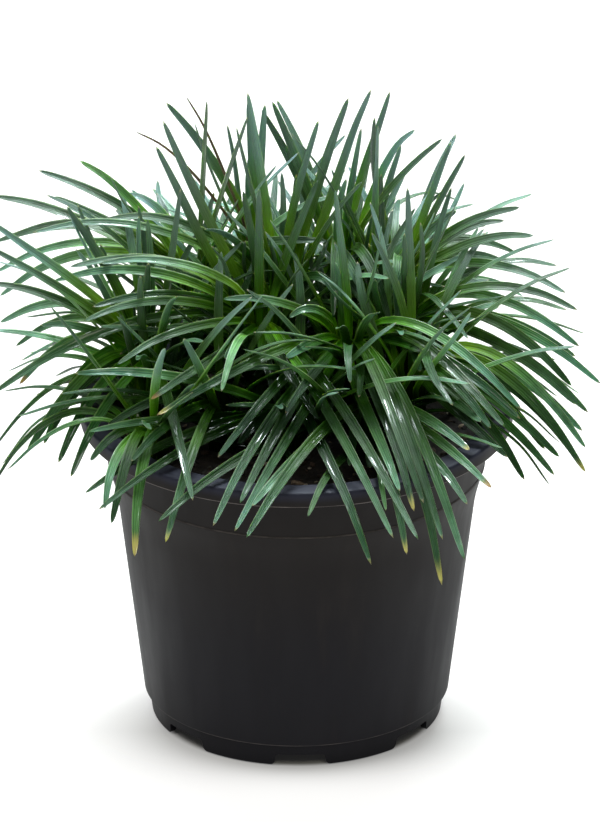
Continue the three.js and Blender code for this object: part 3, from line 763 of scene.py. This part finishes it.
def leaf_skin(n, along, across, tone, lines, veins):
    """A leaf's own colour, by its age, with its lines, veins, pale edges and blotches."""
    varied = n.mix(n.range(tone, 0.3, 1.0), n.ramp(along, GROWN), (0.62, 0.84, 0.95), "MULTIPLY")
    colour = n.mix(n.attribute("fresh"), varied, n.ramp(along, YOUNG))
    colour = n.mix(n.range(lines, 0.5, 0.75, 0.0, 0.55), colour, (0.065, 0.20, 0.045))
    colour = n.mix(n.range(lines, 0.49, 0.36, 0.0, 0.8), colour, (0.004, 0.026, 0.005))
    colour = n.mix(n.range(veins, 0.2, 1.0, 0.0, 0.38), colour, (0.085, 0.24, 0.06))
    edge = n.range(n.math("ABSOLUTE", across), 0.84, 0.96, 0.0, 0.6)
    colour = n.mix(edge, colour, (0.16, 0.29, 0.13))
    blotches = n.noise(n.place(), 120.0, 2.0)
    colour = n.mix(n.range(blotches, 0.4, 0.7, 0.0, 0.5), colour, (0.005, 0.032, 0.004))
    shades = n.strokes((along, 2.2), (tone, 1.0), (tone, 77.0), detail=1.0)
    return n.mix(n.range(shades, 0.5, 0.72, 0.0, 0.55), colour, (0.007, 0.045, 0.003))


def painted_light_in_clump(n, colour, along, tone):
    """Painted light and shade by the leaf's place in the clump: pale in the open, deeper among others, and
    dark inside.
    """
    fresh, shade = n.attribute("fresh"), n.attribute("shade")
    upright = n.range(n.attribute("upright"), 0.5, 0.95)
    # Painted light: upright leaves at the top of the clump lighter, and bluer towards their tips
    share = n.times(upright, n.range(tone, 0.0, 1.0, 0.35, 0.85))
    share = n.times(share, n.math("SUBTRACT", 1.0, fresh))
    colour = n.mix(share, colour, n.ramp(along, UPPER))
    # Painted light in the open, and painted shade among the others and inside
    gain = n.mix(n.range(shade, 0.0, 0.75), n.mix(upright, *IN_OPEN), n.mix(upright, *AMONG_OTHERS))
    gain = n.mix(n.range(shade, 0.72, 1.0), gain, n.mix(n.range(along, 0.12, 0.5), *IN_DARK))
    colour = n.mix(n.range(fresh, 0.0, 1.0, 1.0, 0.15), colour, gain, "MULTIPLY")
    bloom = n.math("POWER", n.math("FRACT", n.times(tone, 7.31)), 2.0)
    colour = n.mix(1.0, colour, n.mix(bloom, *BLOOM), "MULTIPLY")
    # Painted shade: the leaves turn near black deep down between the sheaths
    return n.mix(n.range(n.attribute("deep"), 0.03, 0.55, 0.0, 0.94), colour, (0.001, 0.005, 0.001))


def with_ends(n, colour, along, tone, lines):
    """The colour with faded and scorched ends, and that of dry leaves."""
    tip = n.attribute("tip")
    faded = n.mix(n.attribute("tip_brown"), (0.50, 0.46, 0.13), (0.30, 0.13, 0.045))
    ragged = n.math("ADD", along, n.times(n.math("SUBTRACT", lines, 0.5), 0.10))
    share = n.range(n.math("SUBTRACT", ragged, n.math("SUBTRACT", 1.0, tip)), -0.04, 0.04)
    colour = n.mix(n.times(share, n.range(tip, 0.0, 0.02)), colour, faded)
    scorched = n.times(n.range(along, 0.975, 0.995), n.range(tone, 0.3, 0.5, 0.0, 0.7))
    colour = n.mix(scorched, colour, (0.40, 0.34, 0.20))
    return n.mix(n.attribute("dead"), colour, (0.14, 0.080, 0.045))


def leaf_gloss(n, along, across, tone, fine):
    """Wet films in patches, and a sheen in the open."""
    patches = n.noise(n.place(), 55.0, 2.0)
    films = n.strokes((across, 3.0), (along, 7.0), (tone, 31.0))
    damp = n.times(n.range(patches, 0.50, 0.62), n.range(films, 0.50, 0.56))
    damp = n.math("MAXIMUM", damp, n.times(n.attribute("wet"), n.range(films, 0.38, 0.5)))
    damp = n.times(damp, n.range(fine, 0.42, 0.56, 0.15, 1.0))
    rough = n.math("ADD", n.range(damp, 0.0, 1.0, 0.36, 0.20), n.range(fine, 0.3, 0.7, -0.04, 0.06))
    sheen = n.range(n.attribute("shade"), 0.2, 1.0, 0.80, 0.12)
    n.shader.inputs["Specular IOR Level"].default_value = 0.3
    return {
        "Coat Weight": damp,
        "Coat Roughness": 0.07,
        "Roughness": rough,
        "Specular IOR Level": n.times(n.range(n.attribute("deep"), 0.0, 0.5, 1.0, 0.06), sheen),
    }


def leaf_material():
    n = Nodes("leaf")
    along, across, tone = n.attribute("along"), n.attribute("across"), n.attribute("tone")
    lines = n.strokes((across, 6.5), (along, 1.3), (tone, 91.0), detail=3.0, roughness=0.65)
    fine = n.strokes((across, 16.0), (along, 5.0), (tone, 57.0), detail=5.0, roughness=0.7)
    veins = n.math("SINE", n.times(across, 13.0))
    colour = leaf_skin(n, along, across, tone, lines, veins)
    colour = painted_light_in_clump(n, colour, along, tone)
    return n.finish({
        **leaf_gloss(n, along, across, tone, fine),
        "Base Color": with_ends(n, colour, along, tone, lines),
        "Normal": n.bump(fine, 0.9, 0.00022, n.bump(veins, 0.9, 0.00005)),
        "Subsurface Weight": 0.15,
        "Subsurface Radius": (0.6, 1.0, 0.15),
        "Subsurface Scale": 0.0012,
    })


def pot_material():
    """Bluish black below and brownish black above, with streaks, painted highlights along the edges and a
    painted sheen on the rim.
    """
    n = Nodes("pot_plastic")
    place = n.place()
    drawn = n.add("ShaderNodeVectorMath", {0: place, 1: (1, 1, 0.12)}, operation="MULTIPLY")
    streaks = n.noise(drawn, 90.0, 5.0, 0.6)
    clouds = n.noise(place, 14.0, 4.0, 0.55)
    high = n.axis(place, "Z")
    colour = n.mix(n.range(clouds, 0.35, 0.7), (0.0040, 0.0038, 0.0060), (0.0066, 0.0062, 0.0088))
    colour = n.mix(n.range(high, *BROWN_FROM), colour, (0.0074, 0.0056, 0.0052))
    colour = n.mix(n.range(streaks, 0.52, 0.8, 0.0, 0.35), colour, (0.022, 0.018, 0.016))
    # Painted highlights: thin pale lines along the lip's lower edge, the shoulder and the step, broken up by
    # the streaks
    ragged = n.range(streaks, 0.35, 0.6, 0.3, 1.0)
    for level, reach, strength in PAINTED_EDGE_HIGHLIGHTS:
        away = n.math("ABSOLUTE", n.math("SUBTRACT", high, level))
        share = n.times(n.range(away, reach * 0.4, reach, strength, 0.0), ragged)
        colour = n.mix(share, colour, (0.16, 0.14, 0.13))
    # Painted reflection of the sky: the rim paler and bluish
    colour = n.mix(n.times(n.range(high, *PAINTED_RIM_SHEEN), 0.8), colour, (0.017, 0.019, 0.034))
    rough = n.math("ADD", n.range(streaks, 0.3, 0.7, 0.0, 0.1), n.range(clouds, 0.3, 0.7, 0.46, 0.56))
    grain = n.bump(n.noise(place, 1400.0, 3.0), 0.15, 0.00003)
    normal = n.bump(clouds, 0.3, 0.0008, grain)
    return n.finish(
        {"Base Color": colour, "Roughness": rough, "Specular IOR Level": 0.15, "Normal": normal})


def soil_material():
    n = Nodes("soil")
    clods = n.noise(n.place(), 220.0, 5.0, 0.65)
    colour = n.ramp(clods, [
        (0.3, (0.004, 0.003, 0.003)), (0.55, (0.016, 0.011, 0.008)), (0.8, (0.045, 0.030, 0.020)),
    ])
    return n.finish({"Base Color": colour, "Roughness": 0.9, "Normal": n.bump(clods, 0.8, 0.0012)})


def crumb_material():
    n = Nodes("soil_crumbs")
    grain = n.noise(n.place(), 900.0, 4.0)
    colour = n.ramp(n.attribute("tone"), [
        (0.0, (0.010, 0.007, 0.005)), (0.55, (0.035, 0.022, 0.014)), (0.8, (0.10, 0.062, 0.036)),
        (0.93, (0.34, 0.25, 0.16)), (1.0, (0.62, 0.56, 0.46)),
    ])
    colour = n.mix(n.range(grain, 0.3, 0.7, 0.0, 0.5), colour, (0.02, 0.014, 0.01))
    return n.finish({"Base Color": colour, "Roughness": 0.85, "Normal": n.bump(grain, 0.5, 0.0002)})


# The floor glows, but for a soft shade at the foot and the dark under it. Of the shade: how far it
# reaches at the sides and before the pot, how deep it is, and how far back it fades away
FLOOR_GLOW = 0.86
SHADE_REACH = (24.0, 8.5)
SHADE_DEPTH = 0.56
SHADE_FADES = (-24.0, 27.0)


def floor_material():
    n = Nodes("floor")
    place = n.place()
    x, y = n.axis(place, "X"), n.axis(place, "Y")
    radius = n.math("SQRT", n.math("ADD", n.times(x, x), n.times(y, y)))
    ahead = n.math("DIVIDE", y, radius)
    reach = n.range(n.times(ahead, ahead), 0.0, 1.0, *SHADE_REACH, kind="LINEAR")
    away = n.math("DIVIDE", n.math("MAXIMUM", n.math("SUBTRACT", radius, FOOT_RADIUS), 0.0), reach)
    fall = n.math("EXPONENT", n.times(n.math("POWER", away, 1.25), -1.0))
    front = n.range(y, *SHADE_FADES, SHADE_DEPTH, 0.0, kind="LINEAR")
    glow = n.math("SUBTRACT", FLOOR_GLOW, n.times(fall, front))
    glow = n.times(glow, n.range(radius, FOOT_RADIUS - 4.0, FOOT_RADIUS - 0.5, 0.04, 1.0))
    return n.finish({
        "Emission Color": n.add("ShaderNodeCombineXYZ", {0: glow, 1: glow, 2: glow}),
        "Emission Strength": 1.0,
        "Base Color": (0.32, 0.31, 0.295),
        "Roughness": 0.9,
        "Specular IOR Level": 0.0,
    })


def new_mesh(name, places, faces):
    mesh = bpy.data.meshes.new(name)
    mesh.from_pydata(places, [], faces)
    mesh.update()
    return mesh


def mesh_of(shape, name):
    """The mesh of a shape that is finished with."""
    mesh = bpy.data.meshes.new(name)
    shape.to_mesh(mesh)
    shape.free()
    return mesh


def new_object(name, data, material=None):
    thing = bpy.data.objects.new(name, data)
    bpy.context.scene.collection.objects.link(thing)
    if material:
        data.materials.append(material)
    return thing


# Pot

def turned_mesh(name, outline, facets):
    """A closed outline of (radius, height) points in millimetres, turned about Z."""
    places, index = [], []
    for radius, height in outline:
        turns = facets if radius > 1e-6 else 1
        index.append([len(places) + k % turns for k in range(facets)])
        for k in range(turns):
            angle = 2 * math.pi * k / facets
            places.append(Vector((radius * math.sin(angle), -radius * math.cos(angle), height)) * MM)
    faces = []
    for here, there in zip(index, index[1:] + index[:1]):
        for k in range(facets):
            j = (k + 1) % facets
            corners = list(dict.fromkeys((here[k], here[j], there[j], there[k])))
            if len(corners) > 2:
                faces.append(corners)
    return new_mesh(name, places, faces)


def rounded(corners, steps=4):
    """An outline of (radius, height, size) corners, each rounded off by its size if that isn't 0."""
    places = [Vector(corner[:2]) for corner in corners]
    done = []
    for k, corner in enumerate(places):
        size = corners[k][2]
        before, after = (
            corner + (places[j % len(places)] - corner).normalized() * size for j in (k - 1, k + 1))
        for t in np.linspace(0, 1, steps + 1) if size else [0]:
            done.append(tuple(before * (1 - t) ** 2 + corner * 2 * t * (1 - t) + after * t**2))
    return done


def pot_mesh():
    under_flange = RIM_TOP - FLANGE_THICKNESS
    lip = RIM_RADIUS - LIP_THICKNESS
    corners = [
        (FOOT_RADIUS - FOOT_WIDTH, 0, 0.3),
        (FOOT_RADIUS - 1.2, 0, 0.9),
        (FOOT_RADIUS, STEP_HEIGHT - 0.5, 0.3),
        (WALL_FOOT_RADIUS, STEP_HEIGHT, 0.25),
        (WALL_TOP_RADIUS, WALL_TOP, 6),
        (SHOULDER_RADIUS, SHOULDER_HEIGHT, 0.35),
        (SHOULDER_RADIUS - 0.4, SHOULDER_HEIGHT + 0.5, 0.25),
        (COLLAR_RADIUS, under_flange, 0.6),
        (lip, under_flange, 0.4),
        (lip, RIM_TOP - LIP_HEIGHT, 0.35),
        (RIM_RADIUS, RIM_TOP - LIP_HEIGHT, 0.4),
        (RIM_RADIUS - 0.1, RIM_TOP, 1.3),
        (COLLAR_RADIUS + 0.8, RIM_TOP, 0.7),
        (COLLAR_RADIUS - WALL, RIM_TOP - 2.4, 0.8),
        (SHOULDER_RADIUS - WALL, SHOULDER_HEIGHT, 1),
        (WALL_TOP_RADIUS - WALL, WALL_TOP, 4),
        (WALL_FOOT_RADIUS - WALL, STEP_HEIGHT, 0.8),
        (WALL_FOOT_RADIUS - WALL - 1.2, POT_FLOOR, 0.8),
        (0, POT_FLOOR, 0),
        (0, UNDERSIDE, 0),
        (FOOT_RADIUS - FOOT_WIDTH, UNDERSIDE, 0.5),
    ]
    return turned_mesh("pot_shell", rounded(corners), POT_FACETS)


def notch_outline():
    """Half of a foot notch's outline, from its middle: the pads on each side have round corners."""
    half, top = NOTCH_WIDTH / 2, NOTCH_TOP_WIDTH / 2
    corner = [(top - 1.2, NOTCH_HEIGHT), (top - 0.3, NOTCH_HEIGHT - 0.4), (top, NOTCH_HEIGHT - 1.4)]
    curve = [(mix(top, half, t**2), mix(2.6, 0, math.sin(t * math.pi / 2))) for t in (0, 0.3, 0.6, 0.85, 1)]
    return corner + curve + [(half + 2, -1)]


def add_prism(shape, outline, low, high, turn):
    """Adds a prism of an (x, z) outline, from y = low to y = high, in millimetres, turned about Z."""
    turned = Matrix.Rotation(turn, 3, "Z")
    ends = [[shape.verts.new(turned @ Vector((x, y, z)) * MM) for x, z in outline] for y in (low, high)]
    faces = [shape.faces.new(ends[0]), shape.faces.new(reversed(ends[1]))]
    for k in range(len(outline)):
        j = (k + 1) % len(outline)
        faces.append(shape.faces.new((ends[0][k], ends[1][k], ends[1][j], ends[0][j])))
    bmesh.ops.recalc_face_normals(shape, faces=faces)


def cut(thing, cutters):
    """Cuts the joined cutters from the thing, and applies it."""
    mesh = mesh_of(cutters, "cutter")
    tool = new_object("cutter", mesh)
    modifier = thing.modifiers.new("cut", "BOOLEAN")
    modifier.operation = "DIFFERENCE"
    modifier.object = tool
    modifier.solver = "EXACT"
    bpy.context.view_layer.update()
    evaluated = thing.evaluated_get(bpy.context.evaluated_depsgraph_get())
    result = bpy.data.meshes.new_from_object(evaluated)
    thing.modifiers.clear()
    bpy.data.objects.remove(tool)
    old, thing.data = thing.data, result
    for spent in (old, mesh):
        bpy.data.meshes.remove(spent)


def build_pot():
    pot = new_object("pot_shell", pot_mesh(), pot_material())
    half = notch_outline()
    outline = [(-x, z) for x, z in reversed(half)] + half
    cutters = bmesh.new()
    for k in range(NOTCHES):
        turn = NOTCH_TURN + 2 * math.pi * k / NOTCHES
        add_prism(cutters, outline, -FOOT_RADIUS - 2, -FOOT_RADIUS + FOOT_WIDTH + 2, turn)
        between = turn + math.pi / NOTCHES
        spot = Vector((DRAIN_CIRCLE * math.sin(between), DRAIN_CIRCLE * math.cos(between), UNDERSIDE)) * MM
        bmesh.ops.create_cone(cutters, cap_ends=True, segments=32, radius1=DRAIN_RADIUS * MM,
                              radius2=DRAIN_RADIUS * MM, depth=8 * MM, matrix=Matrix.Translation(spot))
    cut(pot, cutters)
    pot.data.shade_smooth()
    pot.data.set_sharp_from_angle(angle=math.radians(35))
    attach(pot, "root")
    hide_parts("pot")


# Soil

# Crumbs on the soil: how many are strewn, how far out, and the least and greatest radius of one
CRUMBS = 620
CRUMBS_REACH = 66
CRUMB_SIZES = (0.5, 1.8)


def soil_height(x, y):
    """Height of the soil's surface in millimetres, by place."""
    swell = np.sin(x * 0.11 + 1.3) * np.cos(y * 0.13 - 0.4) + 0.5 * np.sin(x * 0.31 - y * 0.27)
    lumps = np.sin(x * 0.9 + 2 * np.sin(y * 0.37)) * np.sin(y * 0.83 + 2 * np.sin(x * 0.41))
    return SOIL_TOP + 0.6 * swell + 0.45 * lumps


def build_soil():
    side = WALL + FIT_GAP
    facets = 144
    walls = [
        (0, POT_FLOOR + FIT_GAP),
        (WALL_FOOT_RADIUS - side - 1.4, POT_FLOOR + FIT_GAP),
        (WALL_FOOT_RADIUS - side, STEP_HEIGHT),
        (WALL_TOP_RADIUS - side, WALL_TOP - 2),
        (SHOULDER_RADIUS - side - 0.2, SHOULDER_HEIGHT),
        (SHOULDER_RADIUS + 0.2 - side, SOIL_TOP - 1.2),
    ]
    rings = [(radius, SOIL_TOP) for radius in np.linspace(67.4, 1.2, 56)]
    mesh = turned_mesh("soil_surface", walls + rings + [(0, SOIL_TOP)], facets)
    random = np.random.default_rng(5)
    for vert in mesh.vertices:
        x, y, z = vert.co / MM
        if z > SOIL_TOP - 0.1:
            vert.co.z = (soil_height(x, y) + random.uniform(-0.25, 0.25)) * MM
    mesh.shade_smooth()
    soil = new_object("soil_surface", mesh, soil_material())
    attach(soil, "root")
    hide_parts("soil")


def build_crumbs():
    """Bark, wood and grit lying on the soil, each a small rough lump."""
    random = np.random.default_rng(17)
    crumbs = bmesh.new()
    tone = crumbs.verts.layers.float.new("tone")
    centres = [np.array(bunch["at"]) for bunch in BUNCHES.values()]
    for _ in range(CRUMBS):
        radius = CRUMBS_REACH * math.sqrt(random.random())
        angle = random.random() * 2 * math.pi
        x, y = radius * math.cos(angle), radius * math.sin(angle)
        if min(math.hypot(x - at[0], y - at[1]) for at in centres) < CORE_RADIUS + 1.5:
            continue
        size = mix(*CRUMB_SIZES, random.random() ** 2)
        stretch = (1 + 0.9 * random.random(), 0.7 + 0.3 * random.random(), 0.45 + 0.3 * random.random())
        turn = Matrix.Rotation(random.random() * 6.3, 4, "Z") @ Matrix.Rotation(random.random() - 0.5, 4, "X")
        high = float(soil_height(x, y)) + size * 0.25
        matrix = Matrix.Translation(Vector((x, y, high)) * MM) @ turn @ Matrix.Diagonal((*stretch, 1))
        made = bmesh.ops.create_icosphere(crumbs, subdivisions=1, radius=size * MM, matrix=matrix)
        shade = random.random()
        for vert in made["verts"]:
            vert.co += Vector(random.uniform(-1, 1, 3)) * size * 0.16 * MM
            vert[tone] = shade
    thing = new_object("soil_crumbs", mesh_of(crumbs, "soil_crumbs"), crumb_material())
    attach(thing, "root")


# Plant

def build_plant():
    leaves = lay_out_leaves()
    shown = len(leaves.points)
    leaves.keep_as(np.array)
    bend_clear(leaves, np.ones(shown, bool), BENDS)
    leaves.keep_as(list)
    add_inner_leaves(leaves)
    leaves.keep_as(np.array)
    bend_clear(leaves, np.arange(len(leaves.points)) >= shown, INNER_BENDS)
    leaves.points = eased(leaves.points)
    material = leaf_material()
    random = random_from(7)
    for name in BUNCHES:
        bunch = new_object(name + "_leaves", bunch_mesh(name, leaves, random), material)
        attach(bunch, "root")
        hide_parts(name)


# Studio

LIT_MIDDLE = (0, 0, 0.12)
SKY = (0.9, 1.0, 1.04)

# Each light: its place, its size, its power and its colour
LIGHTS = {
    "overhead": ((0, 0.7, 1.35), (1.3, 0.8), 38, SKY),
    "key": ((-0.9, -0.5, 1.4), (0.5, 0.5), 8, (1, 1, 1)),
    "fill": ((0.2, -1.1, 1.2), (0.9, 0.5), 6, (1.0, 1.0, 0.85)),
    "glint": ((0.3, 0.75, 1.2), (0.35, 0.16), 12, SKY),
}
WORLD_LIGHT = 0.12
FLOOR_REACH = 12


def look_at(thing, place, target):
    thing.location = place
    thing.rotation_euler = (Vector(target) - Vector(place)).to_track_quat("-Z", "Y").to_euler()


def build_camera():
    data = bpy.data.cameras.new("camera")
    data.sensor_width = SENSOR
    data.lens = PX_PER_MM / MM * CAMERA_DISTANCE / IMAGE[1] * SENSOR
    data.clip_end = 50
    camera = new_object("camera", data)
    right = (IMAGE[0] / 2 - ORIGIN_PX[0]) / PX_PER_MM * MM
    up = (ORIGIN_PX[1] - IMAGE[1] / 2) / PX_PER_MM * MM
    target = Vector((right, up * math.sin(VIEW_TILT), up * math.cos(VIEW_TILT)))
    look_at(camera, target + Vector(TO_VIEWER) * CAMERA_DISTANCE, target)
    bpy.context.scene.camera = camera


def area_light(name, place, size, power, colour):
    data = bpy.data.lights.new(name, "AREA")
    data.shape = "RECTANGLE"
    data.size, data.size_y = size
    data.energy = power
    data.color = colour
    look_at(new_object(name, data), place, LIT_MIDDLE)


def build_studio():
    world = bpy.data.worlds.new("studio")
    world.use_nodes = True
    background = world.node_tree.nodes["Background"]
    background.inputs["Color"].default_value = (1, 1, 1, 1)
    background.inputs["Strength"].default_value = WORLD_LIGHT
    bpy.context.scene.world = world
    bpy.context.scene.view_settings.view_transform = "Standard"
    corners = [(x * FLOOR_REACH, y * FLOOR_REACH, 0) for x, y in ((-1, -1), (1, -1), (1, 1), (-1, 1))]
    ground = new_object("floor", new_mesh("floor", corners, [(0, 1, 2, 3)]), floor_material())
    ground.location.z = -0.0002
    for name, settings in LIGHTS.items():
        area_light(name, *settings)


build_camera()
build_pot()
build_soil()
build_crumbs()
build_plant()
build_studio()
